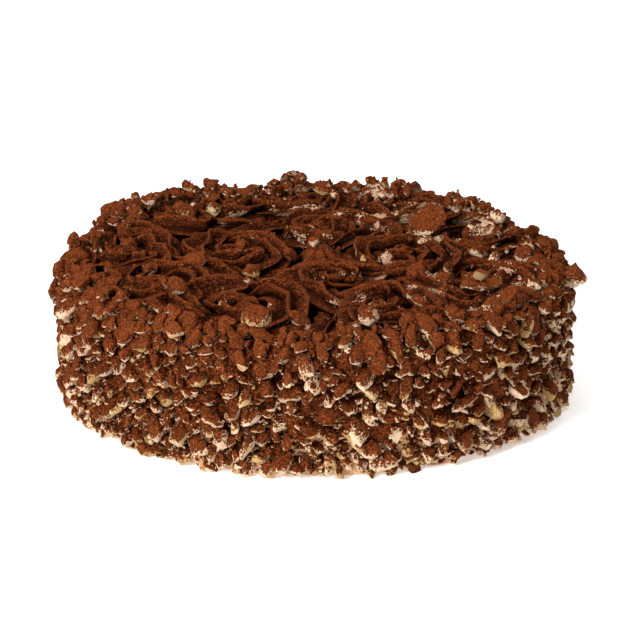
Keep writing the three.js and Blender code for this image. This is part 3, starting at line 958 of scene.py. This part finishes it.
# Heaps that the falling nuts made along the rim: [from bearing, to bearing in degrees, pieces].
HEAPS = [[27, 45, 26], [61, 80, 26], [88, 103, 12], [116, 162, 70]]
HEAP_NEAREST = 91
HEAP_FURTHEST = 103
for layer in ("lower", "upper"):
    bearing = np.concatenate([draw.uniform(first, last, count) for first, last, count in HEAPS])
    bearing = np.radians(bearing)
    distance = draw.uniform(HEAP_NEAREST, HEAP_FURTHEST, len(bearing)) * MM
    sizes = nut_sizes(draw, len(bearing), 5, 9.5)
    places, facings = dropped(zip(distance * np.cos(bearing), distance * np.sin(bearing)))
    places[:, 2] += 0.15 * sizes[:, 2]
    name = f"top_nuts_heaped_{layer}"
    heap = strew(
        name, draw, places, facings, sizes, tilt=0.3, cuts=3, relief=0.35 * MM, nodes=(), swept=0.4
    )
    join_bed(heap)
    top_bed = bed_so_far()

LOOSE_CRUMBS = 1500
sizes = nut_sizes(draw, LOOSE_CRUMBS, 1.4, 3.6)
places, facings, keep = top_spots(draw, LOOSE_CRUMBS, 0.3 * sizes[:, 2])
sizes = sizes[keep]
strew("top_crumbs", draw, places, facings, sizes, tilt=0.8, cuts=2, relief=0.2 * MM, nodes=(), swept=1.0)


# ---------------------------------------------------------------- cocoa
# Sifted last of all, from above and a little from every side. Where the cream and the nuts
# stand in each other's way it doesn't reach, and they stay paler. The same share also paints
# shade: where less of it reaches, the cocoa is painted darker.

SIFT_CELL = 1.0 * MM
SIFT_RINGS = ((30, 6), (55, 8))
COARSE_AREA = 1.2 * MM * MM
OFF_THE_FACE = 0.9 * MM
GLANCING = 0.08


def normals_of(mesh):
    """A mesh's normals at its points."""
    normals = np.empty(len(mesh.vertices) * 3)
    mesh.vertex_normals.foreach_get("vector", normals)
    return normals.reshape(-1, 3)


def samples(points, triangles):
    """Six spots on every triangle above COARSE_AREA and the middle of every smaller one."""
    corners = points[triangles]
    area = np.linalg.norm(np.cross(corners[:, 1] - corners[:, 0], corners[:, 2] - corners[:, 0]), axis=1) / 2
    shares = np.array([[4, 1, 1], [1, 4, 1], [1, 1, 4], [2, 2, 0.5], [2, 0.5, 2], [0.5, 2, 2]])
    shares = shares / shares.sum(axis=1, keepdims=True)
    coarse = (shares @ corners[area > COARSE_AREA]).reshape(-1, 3)
    return np.concatenate([coarse, corners[area <= COARSE_AREA].mean(axis=1)])


def sifting_directions():
    """Directions toward the sieve: straight up, and rings of them that lean out from there, each
    ring by its angle in degrees and with its number of directions, evenly spaced."""
    found = [[0, 0, 1]]
    for lean, count in SIFT_RINGS:
        turns = 2 * np.pi * np.arange(count) / count
        low, high = math.sin(math.radians(lean)), math.cos(math.radians(lean))
        found += [[low * math.cos(turn), low * math.sin(turn), high] for turn in turns]
    return np.array(found)


def reached_share(points, normals, cloud):
    """The share of the cocoa falling toward each point that reaches it. Along a direction, all
    of it reaches a point just off the face if nothing in its cell of a grid across stands more
    than 1 mm nearer the sieve, and none if something stands 2 mm nearer. Directions count by
    how squarely the point faces them."""
    total, most = np.zeros(len(points)), np.full(len(points), 1e-6)
    lifted = points + OFF_THE_FACE * normals
    for direction in sifting_directions():
        first = unit(np.cross(direction, [0.3, 1, 0.1]))
        across = np.stack([first, np.cross(direction, first)], axis=-1)
        spots, targets = cloud @ across / SIFT_CELL, lifted @ across / SIFT_CELL
        lowest = np.floor(spots.min(axis=0)) - 2
        spots, targets = (np.floor(each - lowest).astype(np.int64) for each in (spots, targets))
        width = spots[:, 1].max() + 4
        front = np.full((spots[:, 0].max() + 4) * width, -1.0)
        np.maximum.at(front, spots[:, 0] * width + spots[:, 1], cloud @ direction)
        nearest = front[np.clip(targets[:, 0] * width + targets[:, 1], 0, len(front) - 1)]
        open_share = np.clip((lifted @ direction - nearest + 2 * MM) / MM, 0, 1)
        weight = np.maximum(normals @ direction, 0) + GLANCING
        total += weight * open_share
        most += weight
    return total / most


dusted = [piece for piece in bpy.data.objects if piece.type == "MESH" and "cocoa_reach_and_shade" in piece.data.attributes]
dusted.remove(table)
points = [points_of(piece.data) for piece in dusted]
normals = [normals_of(piece.data) for piece in dusted]
triangles = [triangles_of(piece.data) for piece in dusted]
cloud = np.concatenate([samples(*each) for each in zip(points, triangles)])
cocoa_reach_and_shade = reached_share(np.vstack(points), np.vstack(normals), cloud).astype(np.float32)
ends = np.cumsum([len(each) for each in points])
for piece, values in zip(dusted, np.split(cocoa_reach_and_shade, ends[:-1])):
    piece.data.attributes["cocoa_reach_and_shade"].data.foreach_set("value", values)
